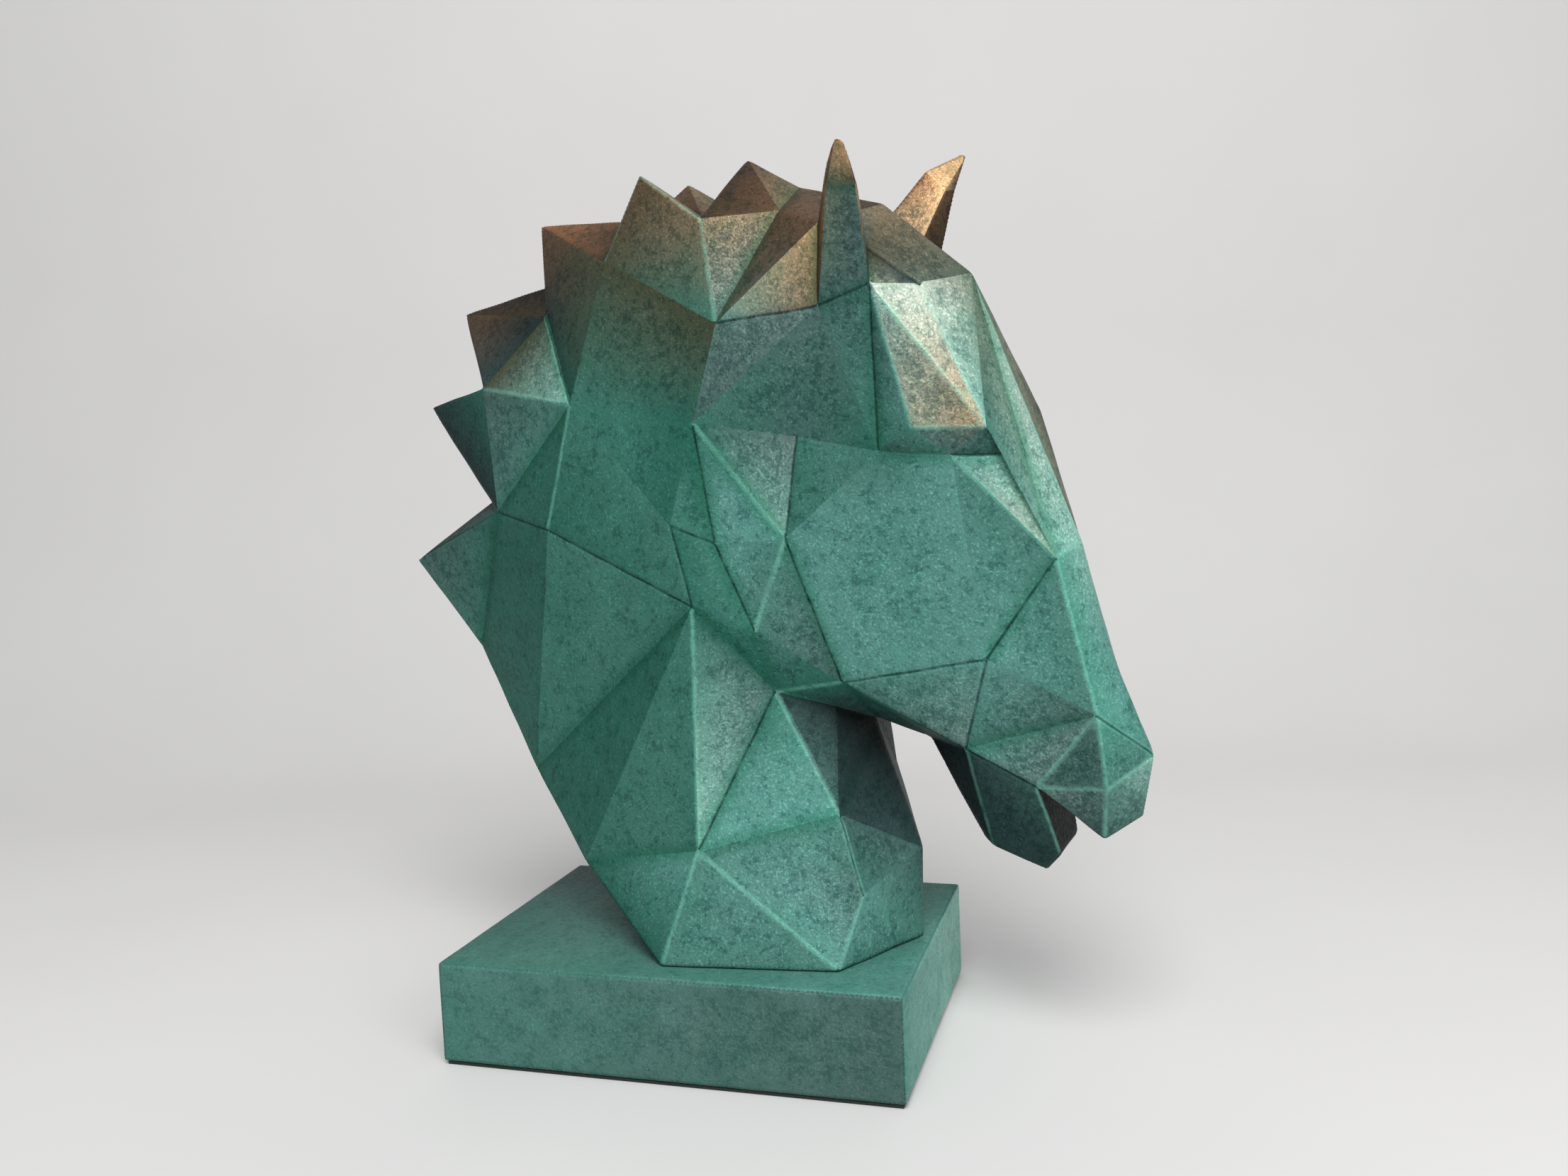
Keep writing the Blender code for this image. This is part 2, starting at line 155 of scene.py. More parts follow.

# The paint at each corner of a facet. These paints were matched to how each facet looks under the
# lamps, so part of them is painted light: the black, ink and night under the jaw, in the throat, inside
# the mouth and in the mane's deep notches are dark paint with painted shade on it, the deep green and
# ink on the facets at the back of the neck and mane are partly painted shade, and the far ear's bright
# gold is partly a painted highlight. A far facet takes the near one's unless it has a line of its own.
# The underside, which has no line, takes PLAIN_PAINT.
PLAIN_PAINT = "green"
PAINTED = """
poll:bronze forehead:moss temple:moss ear_inner:olive
ear_inner:umber temple:night ear_front:sage
poll:bronze ear_inner:night ear_root:teal
poll:umber ear_root:brown nape:brown
temple:pale forehead:sage brow_inner:mint
temple:pale brow_inner:tan ear_front:pale
ear_front:steel brow_inner:bronze brow_outer:sage
ear_front:teal brow_outer:sea eye_back:leaf
ear_back:teal ear_front:teal eye_back:leaf
eye_low:teal brow_outer:slate brow_inner:moss
eye_low:sea eye_back:teal brow_outer:sea
eye_low:teal brow_inner:teal eye_front:teal
forehead:sage nasal:mint brow_inner:leaf
forehead:pale bridge:mint nasal:mint
forehead:sage bridge:mint nasal*:sage
forehead:sage nasal*:sage brow_inner*:olive
brow_inner:green nasal:mint eye_front:mint
nasal:emerald bridge:mint nose_dip:jade nose_tip:jade nostril:emerald
eye_back:sea eye_low:jade cheek_low:jade jaw_corner:jade cheek_back:jade
eye_low:jade eye_front:mint nasal:pale
eye_low:sea nasal:sea cheek_low:jade
ear_back:slate eye_back:green cheek_top:teal neck_top:leaf
cheek_top:leaf eye_back:sea cheek_back:leaf
neck_top:leaf cheek_top:steel cheek_back:mint
nasal:sea nostril:sea cheek_low:jade
cheek_low:jade nostril:slate mouth_back:sea
cheek_low:jade mouth_back:steel jaw_corner:sea
mouth_back:jade nostril:steel mouth_front:steel
nostril:teal lip_side:teal mouth_front:slate
mouth_front:steel lip_side:slate lip_low:night
nostril:emerald nose_tip:sea lip_side:sea
lip_side:sea nose_tip:mint lip_middle:slate lip_low:teal
mouth_front:black lip_low:ink lip_middle:ink
lip_middle:black mouth_front*:black mouth_front:black
mouth_front:black lower_lip:black lower_lip*:black mouth_front*:black
mouth_back:night mouth_front:teal lower_lip:night chin:night heel:night
jaw_root:black mouth_back:ink heel:ink
jaw_root:black heel:ink heel_middle:black
heel_middle:ink heel:ink chin:ink
heel_middle:ink chin:ink chin*:ink
chin:ink lower_lip:ink lower_lip*:ink chin*:ink
jaw_root:black jaw_corner:leaf mouth_back:night
throat:night jaw_corner:leaf jaw_root:night
throat:night under_jaw:night jaw_corner:leaf
jaw_back:leaf jaw_corner:green under_jaw:night
jaw_back:night under_jaw:black gullet:teal
throat:black gullet:night under_jaw:black
throat:black front_middle:night gullet:night
gullet:teal front_middle:teal foot_front_side:sea
foot_front_side:jade front_middle:night foot_front:leaf
foot_front_side:jade foot_front:sea foot_side:jade
jaw_back:leaf gullet:jade breast:jade
breast:sea gullet:sea foot_front_side:slate foot_side:jade
breast:sea foot_side:sea foot_back_corner:sea
breast:jade foot_back_corner:green back_foot:green
neck_bulge:green jaw_back:slate breast:mint
neck_bulge:leaf breast:leaf back_foot:leaf
neck_bulge:green neck_hollow:leaf jaw_back:green
neck_hollow:sea jaw_corner:green jaw_back:green
neck_hollow:sea cheek_back:sea jaw_corner:slate
neck_patch_front:jade cheek_back:sea neck_hollow:sea
neck_top:sea cheek_back:jade neck_patch_front:jade
neck_top:green neck_patch_front:leaf neck_patch_back:leaf
neck_patch_back:green neck_patch_front:leaf neck_hollow:leaf neck_bulge:green
mane_mid:leaf neck_top:green neck_patch_back:green
mane_mid:leaf neck_patch_back:leaf neck_bulge:leaf mane_seam:green
mane_high:olive ear_behind:olive neck_top:green mane_mid:leaf
ear_behind:steel ear_back:steel neck_top:teal
ear_behind:jade ear_root:gold ear_back:bronze
nape_side:brown ear_root:brown ear_behind:moss
nape_side:brown nape:brown ear_root:brown
crown_side:bronze nape_side:bronze ear_behind:steel
side_spike:brown crown_side:bronze ear_behind:leaf mane_high:olive
tooth_1:brown nape:bronze nape_side:bronze
tooth_1:umber nape_side:brown crown_side:umber
tooth_1:umber crown_side:umber valley_1:umber
side_spike:bronze valley_1:brown crown_side:bronze
side_spike:brown valley_2:brown valley_1:umber
side_spike:brown mane_high:umber valley_2:umber
tooth_2:copper valley_2:umber mane_high:umber
mane_high:olive mane_mid:deep mane_notch:ink tooth_2:brown
tooth_2:brown mane_notch:umber valley_3:umber
tooth_3:umber valley_3:black mane_notch:umber
tooth_3:brown mane_notch:ink mane_bump:night
tooth_3:umber mane_bump:ink valley_4:ink
mane_bump:olive mane_notch:olive mane_mid:mint
mane_bump:slate mane_mid:sea mane_low:sea
mane_mid:green mane_seam:green mane_low:green
tooth_4:umber valley_4:black mane_bump:ink
tooth_4:ink mane_bump:green mane_low:ink
tooth_4:ink mane_low:green valley_5:ink
tooth_5:ink valley_5:ink mane_low:deep
tooth_5:slate mane_low:green crest_end:leaf
mane_low:green mane_seam:green back_low:green crest_end:green
mane_seam:leaf neck_bulge:leaf back_low:leaf
back_low:green neck_bulge:green back_foot:green
crest_end:deep back_low:deep foot_back:deep
back_low:deep back_foot:deep foot_back:deep
back_foot:green foot_back_corner:green foot_back:deep
ear_root:umber ear_back:umber bend_back:copper bend_root:brown
ear_back:teal ear_front:slate bend_front:slate bend_back:sage
ear_front:teal ear_inner:umber bend_inner:tan bend_front:tan
ear_inner:umber ear_root:brown bend_root:brown bend_inner:tan
bend_root:brown bend_back:brown tip_back:copper
bend_back:sage bend_front:bronze tip_front:gold tip_back:gold
bend_front:brown bend_inner:copper tip_front:tan
bend_inner:tan bend_root:tan tip_back:gold tip_front:gold
ear_inner*:tan ear_root*:bronze bend_root*:copper bend_inner*:gold
bend_inner*:gold bend_root*:gold tip_back*:gold tip_front*:gold
ear_front*:umber ear_inner*:umber bend_inner*:brown bend_front*:umber
bend_front*:umber bend_inner*:tan tip_front*:brown
""".strip().splitlines()

# Folds that carry a worn light line.
WORN_FOLDS = """
neck_top-cheek_back eye_low-nasal nasal-nostril nostril-mouth_front neck_bulge-breast
breast-foot_back_corner breast-foot_side gullet-jaw_back foot_front_side-foot_side mane_mid-mane_seam
forehead-bridge nasal-bridge mane_notch-mane_mid crown_side-ear_behind ear_front-brow_inner
brow_outer-brow_inner nostril-nose_tip nostril-lip_side mouth_front-lip_side jaw_back-jaw_corner
cheek_back-neck_hollow gullet-foot_front_side mane_bump-mane_mid temple-brow_inner lip_side-nose_tip
ear_front-brow_outer lip_side-lip_low mouth_back-heel mouth_front-lower_lip side_spike-mane_high
side_spike-crown_side
""".split()

# Fineness of the surface mesh, in millimetres. Its rings lie this far in from a facet's outline.
EDGE_STEP = 1.8
RINGS = (0.35, 0.9, 2.0)
GRID_STEP = 3.4
GRID_ROW_SHARE = 0.866

# A row's point stays this many rings from other edges, and a grid point this share of a step from the
# last ring.
ROW_CLEARANCE = 1.02
GRID_CLEARANCE = 0.45

# How firmly a point is held in directions in which no facet pushes it.
HOLD = 0.02

# Keeps a point on a corner from dividing by zero.
TINY = 1e-5

# Roundness of the folds and shape of the seams, in millimetres.
FOLD_REACH = 2.0
VALLEY_REACH = 0.9
MOST_ROUNDING = 0.4
PLINTH_ROUNDING = 0.9
GROOVE_DEPTH = 0.3
GROOVE_REACH = 0.3
LIP_HEIGHT = 0.3
LIP_REACH = 3.0

# Unevenness of the sheets, in millimetres, and where its noise is read for each direction.
BUST_WOBBLE = 0.22
PLINTH_WOBBLE = 0.1
WOBBLE_LENGTH = 14
WOBBLE_PLACES = ((0, 0, 0), (31.4, 0, 0), (0, 47.7, 0))

# Points this close are one, a facet is flat within this, and a point with no seam near is this far
# from one, in millimetres.
WELD = 0.01
FLAT_WITHIN = 0.02
FAR = 99.0

# A flatter edge is no edge, in degrees. A deeper hollow is a valley, and a sharper fold counts as this
# sharp, in radians.
FLAT_ANGLE = 0.05
VALLEY_ANGLE = 0.12
SHARPEST_FOLD = 2.4

# Sizes of the paint's noises, in millimetres.
BROAD, SPONGE, PATCH, PORE, GRAIN, FINE = 26, 13, 7, 2.4, 1.7, 1.0

# Coats multiplied into the paint: where they start and are full, their strength, and their tint.
# Valley and seam are in millimetres from the fold, and the others on a noise's scale.
COATS = {
    "thick": (0.42, 0.66, 1.0, (0.74, 0.88, 0.85)),
    "thin": (0.50, 0.34, 1.0, (1.06, 1.03, 1.05)),
    "sponged": (0.50, 0.68, 0.4, (1.22, 1.36, 1.32)),
    "valley": (6.0, 0.3, 0.7, (0.42, 0.74, 0.62)),
    "speck": (0.75, 0.83, 0.65, (0.40, 0.48, 0.52)),
    "pit": (0.47, 0.38, 1.0, (0.56, 0.68, 0.70)),
    # The next coat is a painted highlight: bright flecks that stand for light caught by the grain.
    "painted_glint": (0.56, 0.66, 0.9, (1.75, 1.60, 1.60)),
    "seam": (0.75, 0.25, 1.0, (0.20, 0.27, 0.27)),
}

# A worn fold starts and is full at these sums of the distance in millimetres and ragged noise. Then its
# strength, its pale paint, and how much it lifts the paint under it.
WORN_START = 2.5
WORN_FULL = 1.1
WORN_RAGGED = 1.8
WORN_STRENGTH = 0.8
WORN_PAINT = (112, 178, 158)
WORN_LIFT = (2.6, 2.3, 2.3, 1)

# The relief's depth in millimetres, the paint's gloss, and the plinth's share of the speckle, its
# painted highlights included.
RELIEF_DEPTH = 0.7
PAINT_SPECULAR = 0.1
PLINTH_SPECKLE = 0.65

# The plinth's paints at its left, right, back left and back right, for each kind of face. Part of
# them is painted light: the night at the top's back left is painted shade, and the lighter jade and
# mint on the right end are partly that end's light painted on.
PLINTH_TOP = ("leaf", "jade", "night", "leaf")
PLINTH_ENDS = ("sea", "jade", "leaf", "mint")
PLINTH_SIDES = ("sea", "slate", "sea", "slate")

# The paper sweep's profile, in metres from the object, and its half width.
SWEEP_NEAR, SWEEP_BACK, SWEEP_RADIUS, SWEEP_TOP, SWEEP_HALF = -1.2, 0.75, 0.35, 1.6, 1.8
SWEEP_STEPS = 12

# The paper's two shades and the size of its blotches in millimetres, and the dark card's two shades.
PAPER_SHADES = (0.70, 0.69, 0.68, 1), (0.74, 0.73, 0.72, 1)
PAPER_BLOTCH = 160
CARD_SHADES = (22, 32, 30), (44, 54, 50)

# Lamps: place and target in metres, size of the disk in metres, and power in watts.
LAMPS = {
    "overhead": ((0.35, -0.95, 1.4), (0.05, 0.0, 0.05), 1.0, 22),
    "front right": ((1.3, -1.0, 0.9), (0, 0, 0.18), 0.9, 7),
}
WORLD_COLOUR = (0.95, 0.97, 1.0, 1)
WORLD_STRENGTH = 0.35


def turned(point, share):
    turn = math.radians(FOOT_TURN + (HEAD_TURN - FOOT_TURN) * share)
    lean = math.radians(HEAD_LEAN * share)
    rotation = Matrix.Rotation(turn, 3, "Z") @ Matrix.Rotation(lean, 3, "X")
    return TURN_CENTRE + rotation @ (point - TURN_CENTRE)


def landmark_places():
    """World places of the landmarks in millimetres. The far side's names end with a star."""
    plinth_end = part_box("plinth")[1].x / MM
    foot = Vector((plinth_end - DRAWN_ZERO_TO_PLINTH_END, 0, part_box("bust")[0].z / MM))
    places = {}
    for share, group in LANDMARKS.items():
        for name, (forward, out, up) in group.items():
            places[name] = turned(Vector((forward, -out, up)), share) + foot
            places[name + "*"] = turned(Vector((forward, out, up)), share) + foot
    return places


def bust_shell():
    """The solid's bust as a bmesh in millimetres, and its vertex at each landmark."""
    bm = bmesh.new()
    bm.from_mesh(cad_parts["bust"].data)
    bmesh.ops.scale(bm, vec=(1 / MM,) * 3, verts=bm.verts)
    bmesh.ops.remove_doubles(bm, verts=bm.verts, dist=WELD)
    at = {}
    for name, place in landmark_places().items():
        at[name] = min(bm.verts, key=lambda vertex: (vertex.co - place).length_squared)
    smooth = named_edges(bm, at, SMOOTH_EDGES)
    smooth |= {edge for edge in bm.edges if edge.calc_face_angle(0) < math.radians(FLAT_ANGLE)}
    bm.edges.index_update()
    smooth = sorted(smooth, key=lambda edge: edge.index)
    bmesh.ops.dissolve_edges(bm, edges=smooth, use_verts=False)
    return bm, at


def side_edges(bm, at, pairs):
    """{edge: the vertex on its raised side} for pairs such as a-b:c, on both sides of the horse."""
    found = {}
    for pair in pairs:
        ends, raised = pair.split(":")
        for star in ("", "*"):
            a, b = (at[name + star] for name in ends.split("-"))
            edge = bm.edges.get((a, b))
            if edge:
                found[edge] = at[raised + star]
    return found


def named_edges(bm, at, pairs):
    """The edges between pairs such as a-b, on both sides of the horse."""
    ends = [[at[name + star] for name in pair.split("-")] for pair in pairs for star in ("", "*")]
    return {bm.edges.get(pair) for pair in ends} - {None}


def facet_paints(at):
    """{vertices of a facet: {vertex: paint}}, from the painted list."""
    near, far = {}, {}
    for line in PAINTED:
        corners = [corner.split(":") for corner in line.split()]
        star = any(name.endswith("*") for name, _ in corners)
        paints = {at[name]: PAINTS[paint] for name, paint in corners}
        near[frozenset(paints)] = paints
        if not star:
            twins = {at[name + "*"]: PAINTS[paint] for name, paint in corners}
            far[frozenset(twins)] = twins
    return {**far, **near}


def painter(at):
    """A function that gives each point of a facet its colour, metal, dark speckle and light speckle, which
    sets its painted highlights.
    """
    known = facet_paints(at)

    def tones(face, points):
        paints = known.get(frozenset(face.verts), {})
        corners = face.verts[:]
        values = np.array([paints.get(vertex, PAINTS[PLAIN_PAINT]) for vertex in corners], float)
        values[:, :3] = [linear(*value[:3])[:3] for value in values]
        places = np.array([vertex.co for vertex in corners])
        reach = places - points[:, None]
        away = np.linalg.norm(reach, axis=2) + TINY
        following = np.roll(np.arange(len(corners)), -1)
        cosine = (reach * reach[:, following]).sum(2) / (away * away[:, following])
        wedge = np.tan(np.arccos(np.clip(cosine, TINY - 1, 1)) / 2)
        weights = (wedge + np.roll(wedge, 1, axis=1)) / away
        return weights @ values / weights.sum(1, keepdims=True)

    return tones


def distances(points, starts, ends):
    """Distance of each 2-D point to each segment."""
    along = ends - starts
    share = ((points[:, None] - starts) * along).sum(2) / (along ** 2).sum(1)
    nearest = starts + np.clip(share, 0, 1)[..., None] * along
    return np.linalg.norm(points[:, None] - nearest, axis=2)


def inner_points(corners):
    """Points inside a 2-D polygon: rows beside each edge, closer near it, then a loose grid."""
    starts, ends = corners, np.roll(corners, -1, axis=0)
    found = []
    for i, (start, end) in enumerate(zip(starts, ends)):
        length = np.linalg.norm(end - start)
        along = (end - start) / length
        inward = np.array((-along[1], along[0]))
        for k, ring in enumerate(RINGS):
            count = max(1, round(length / EDGE_STEP))
            steps = (np.arange(count) + (0.5 if k % 2 == 0 else 0.0)) * length / count
            row = start + steps[:, None] * along + ring * inward
            away = distances(row, starts, ends)
            others = np.delete(away, i, axis=1).min(1)
            found.append(row[(others > ring * ROW_CLEARANCE) & inside(row, starts, ends)])
    low, high = corners.min(0), corners.max(0)
    xs = np.arange(low[0], high[0], GRID_STEP)
    ys = np.arange(low[1], high[1], GRID_STEP * GRID_ROW_SHARE)
    grid = np.array([(x + (j % 2) * GRID_STEP / 2, y) for j, y in enumerate(ys) for x in xs])
    grid = grid.reshape(-1, 2)
    if len(grid):
        away = distances(grid, starts, ends).min(1)
        found.append(grid[(away > RINGS[-1] + GRID_CLEARANCE * GRID_STEP) & inside(grid, starts, ends)])
    return np.concatenate(found)


def inside(points, starts, ends):
    """Whether each 2-D point is inside the polygon, by crossings."""
    (x0, y0), (x1, y1) = starts.T, ends.T
    x, y = points[:, 0:1], points[:, 1:2]
    rise = np.where(y1 == y0, 1e-12, y1 - y0)
    crosses = ((y0 > y) != (y1 > y)) & (x < (x1 - x0) * (y - y0) / rise + x0)
    return crosses.sum(1) % 2 == 1


def settle_heights(heights, fixed, faces, rounds=150):
    """Heights over a nearly flat facet, fixed along its outline and eased smoothly between."""
    pairs = np.concatenate([faces[:, [0, 1]], faces[:, [1, 2]], faces[:, [2, 0]]])
    pairs = np.concatenate([pairs, pairs[:, ::-1]])
    count = np.bincount(pairs[:, 0], minlength=len(heights))
    heights = heights.copy()
    heights[fixed:] = heights[:fixed].mean()
    for _ in range(rounds):
        mean = np.bincount(pairs[:, 0], weights=heights[pairs[:, 1]], minlength=len(heights)) / count
        heights[fixed:] = mean[fixed:]
    return heights


def fine_surface(bm, tones, wobble, rounding, seams=(), worn=()):
    """A fine mesh over the faces of bm, in millimetres, with rounded folds and seams.

    Returns points, triangles, {name: value at each point} and the rows of values at each corner.
    """
    seams = dict(seams)
    points = [vertex.co.copy() for vertex in bm.verts]
    bm.verts.index_update()
    rows = {}
    for edge in bm.edges:
        a, b = edge.verts
        count = max(1, round(edge.calc_length() / EDGE_STEP))
        between = range(len(points), len(points) + count - 1)
        points += [a.co.lerp(b.co, (k + 1) / count) for k in range(count - 1)]
        rows[edge] = [a.index, *between, b.index]
    faces, pushes, corner_rows = [], [], []
    away_from = {name: {} for name in ("seam", "worn", "valley")}
    for face in bm.faces:
        normal = face.normal.copy()
        middle = face.calc_center_median()
        across = (face.verts[1].co - face.verts[0].co).normalized()
        across = (across - normal * across.dot(normal)).normalized()
        up = normal.cross(across)
        basis = np.array((across, up, normal))
        outline = []
        for loop in face.loops:
            row = rows[loop.edge]
            outline += (row if row[0] == loop.vert.index else row[::-1])[:-1]
        local = (np.array([points[i] for i in outline]) - np.array(middle)) @ basis.T
        corners = (np.array([loop.vert.co for loop in face.loops]) - np.array(middle)) @ basis.T
        starts, ends = corners[:, :2], np.roll(corners[:, :2], -1, axis=0)
        flat = np.concatenate([local[:, :2], inner_points(corners[:, :2])])
        made = delaunay_2d_cdt([Vector(p) for p in flat.tolist()], [], [list(range(len(outline)))], 1, 1e-6)
        source = [min(origin) for origin in made[3]]
        cells = np.array([[source[i] for i in cell] for cell in made[2]])
        turns = np.cross(flat[cells[:, 1]] - flat[cells[:, 0]], flat[cells[:, 2]] - flat[cells[:, 0]])
        cells[turns < 0] = cells[turns < 0][:, ::-1]
        heights = np.concatenate([local[:, 2], np.zeros(len(flat) - len(outline))])
        if np.abs(local[:, 2]).max() > FLAT_WITHIN:
            heights = settle_heights(heights, len(outline), cells)
        names = np.array(outline + list(range(len(points), len(points) + len(flat) - len(outline))))
        solid = np.column_stack([flat, heights]) @ basis + np.array(middle)
        points += [Vector(p) for p in solid[len(outline):]]
        away = distances(flat, starts, ends)
        push = np.zeros(len(flat))
        for k, loop in enumerate(face.loops):
            bend = loop.edge.calc_face_angle_signed(0)
            reach = FOLD_REACH if bend > 0 else VALLEY_REACH
            slope = math.tan(min(abs(bend), SHARPEST_FOLD) / 2)
            most = rounding * min(1.0, 1 + math.cos(bend))
            reach = min(reach, 2 * most / max(slope, 1e-3))
            near = np.clip(reach - away[:, k], 0, None)
            push -= math.copysign(1, bend) * near ** 2 * slope / (2 * reach)
            if loop.edge in seams:
                push -= GROOVE_DEPTH * np.exp(-(away[:, k] / GROOVE_REACH) ** 2)
                if seams[loop.edge] in face.verts[:]:
                    lip = np.exp(-away[:, k] / LIP_REACH) * np.clip(away[:, k] / RINGS[1], 0, 1)
                    push += LIP_HEIGHT * lip
        pushes.append((names, np.tile(np.array(normal), (len(names), 1)), push))
        folds = away.min(1)
        kinds = {
            "seam": [k for k, loop in enumerate(face.loops) if loop.edge in seams],
            "worn": [k for k, loop in enumerate(face.loops) if loop.edge in worn],
            "valley": [k for k, loop in enumerate(face.loops)
                       if loop.edge.calc_face_angle_signed(0) < -VALLEY_ANGLE],
        }
        for kind, held in kinds.items():
            if held:
                nearest = away_from[kind]
                for point, value in zip(names, away[:, held].min(1)):
                    nearest[point] = min(nearest.get(point, FAR), value)
        faces.append(names[cells])
        inset = folds / max(folds.max(), 1e-6)
        corner_rows.append(np.column_stack([inset, tones(face, solid)])[cells].reshape(-1, 7))
    points = np.array(points)
    faces = np.concatenate(faces)
    names = np.concatenate([row[0] for row in pushes])
    normals = np.concatenate([row[1] for row in pushes])
    push = np.concatenate([row[2] for row in pushes])
    points += solved_shift(len(points), names, normals, push)
    points += wobble * np.array([unevenness(Vector(p) / WOBBLE_LENGTH) for p in points])
    spread = {kind: np.array([nearest.get(i, FAR) for i in range(len(points))])
              for kind, nearest in away_from.items()}
    return points, faces, spread, np.concatenate(corner_rows)


def unevenness(place):
    """A smooth shift in three directions that is the same each run."""
    return [noise.noise(place + Vector(apart)) for apart in WOBBLE_PLACES]


def solved_shift(count, names, normals, push):
    """The shift of each point that moves it by push along the normal of each facet it is on."""
    matrix = np.tile(np.eye(3) * HOLD, (count, 1, 1))
    right = np.zeros((count, 3))
    np.add.at(matrix, names, normals[:, :, None] * normals[:, None, :])
    np.add.at(right, names, normals * push[:, None])
    return np.linalg.solve(matrix, right[..., None])[..., 0]


def add_piece(name, surface, low, high, material):
    """An object from a fine surface, kept inside the box from low to high."""
    points, faces, spread, corners = surface
    points = np.clip(points * MM, np.array(low), np.array(high))
    mesh = bpy.data.meshes.new(name)
    mesh.from_pydata(points.tolist(), [], faces.tolist())
    for key, values in spread.items():
        mesh.attributes.new(key, "FLOAT", "POINT").data.foreach_set("value", values.astype(np.float32))
    inset, colour, rest = corners[:, 0], corners[:, 1:4], corners[:, 4:]
    # The light values set how strong the painted highlights on the grain are.
    for key, values in zip(("inset", "metal", "dark", "light"), (inset, *rest.T)):
        mesh.attributes.new(key, "FLOAT", "CORNER").data.foreach_set("value", values.astype(np.float32))
    rows = np.column_stack([colour, np.ones(len(colour))]).astype(np.float32)
    mesh.attributes.new("paint", "FLOAT_COLOR", "CORNER").data.foreach_set("color", rows.ravel())
    mesh.shade_smooth()
    mesh.update()
    piece = bpy.data.objects.new(name, mesh)
    bpy.context.scene.collection.objects.link(piece)
    mesh.materials.append(material)
    return piece


class Nodes:
    """Short calls that add shader nodes to one material."""

    def __init__(self, material):
        material.use_nodes = True
        self.tree = material.node_tree
        self.shader = self.tree.nodes["Principled BSDF"]
        self.place = self.tree.nodes.new("ShaderNodeTexCoord").outputs["Object"]

    def put(self, socket, value):
        if isinstance(value, bpy.types.NodeSocket):
            self.tree.links.new(value, socket)
        else:
            socket.default_value = value

    def math(self, operation, a, b):
        node = self.tree.nodes.new("ShaderNodeMath")
        node.operation = operation
        self.put(node.inputs[0], a)
        self.put(node.inputs[1], b)
        return node.outputs[0]

    def noise(self, size, detail=3.0, roughness=0.5, shift=0.0):
        """Noise from 0 to 1 with features of about that size in millimetres."""
        node = self.tree.nodes.new("ShaderNodeTexNoise")
        node.noise_dimensions = "4D"
        self.tree.links.new(self.place, node.inputs["Vector"])
        node.inputs["Scale"].default_value = 1 / (size * MM)
        node.inputs["Detail"].default_value = detail
        node.inputs["Roughness"].default_value = roughness
        node.inputs["W"].default_value = shift
        return node.outputs["Fac"]

    def attribute(self, name):
        node = self.tree.nodes.new("ShaderNodeAttribute")
        node.attribute_name = name
        return node.outputs["Fac"]

    def colour(self, name):
        node = self.tree.nodes.new("ShaderNodeAttribute")
        node.attribute_name = name
        return node.outputs["Color"]

    def step(self, value, low, high, a=0.0, b=1.0):
        """Smooth change from a to b as value goes from low to high."""
        node = self.tree.nodes.new("ShaderNodeMapRange")
        node.interpolation_type = "SMOOTHSTEP"
        flipped = low > high
        self.put(node.inputs["Value"], value)
        node.inputs["From Min"].default_value = high if flipped else low
        node.inputs["From Max"].default_value = low if flipped else high
        node.inputs["To Min"].default_value = b if flipped else a
        node.inputs["To Max"].default_value = a if flipped else b
        return node.outputs["Result"]

    def mix(self, share, a, b, blend="MIX"):
        node = self.tree.nodes.new("ShaderNodeMix")
        node.data_type = "RGBA"
        node.blend_type = blend
        self.put(node.inputs["Factor"], share)
        self.put(node.inputs[6], a)
        self.put(node.inputs[7], b)
        return node.outputs[2]

    def total(self, *weighed):
        """The sum of values, each times its weight."""
        terms = [self.math("MULTIPLY", value, weight) for value, weight in weighed]
        result = terms[0]
        for term in terms[1:]:
            result = self.math("ADD", result, term)
        return result

    def coat(self, kind, value, colour, share=1.0):
        """The colour with a kind of coat on it where value is past the coat's start."""
        start, full, strength, tint = COATS[kind]
        amount = self.math("MULTIPLY", self.step(value, start, full, 0.0, strength), share)
        return self.mix(amount, colour, (*tint, 1), "MULTIPLY")

    def bump(self, height, distance, strength):
        node = self.tree.nodes.new("ShaderNodeBump")
        node.inputs["Strength"].default_value = strength
        node.inputs["Distance"].default_value = distance * MM
        self.put(node.inputs["Height"], height)
        return node.outputs["Normal"]


def linear(red, green, blue):
    """A shader colour from one that is written as 0 to 255 on a screen."""
    def channel(value):
        value /= 255
        return value / 12.92 if value <= 0.04045 else ((value + 0.055) / 1.055) ** 2.4
    return channel(red), channel(green), channel(blue), 1.0


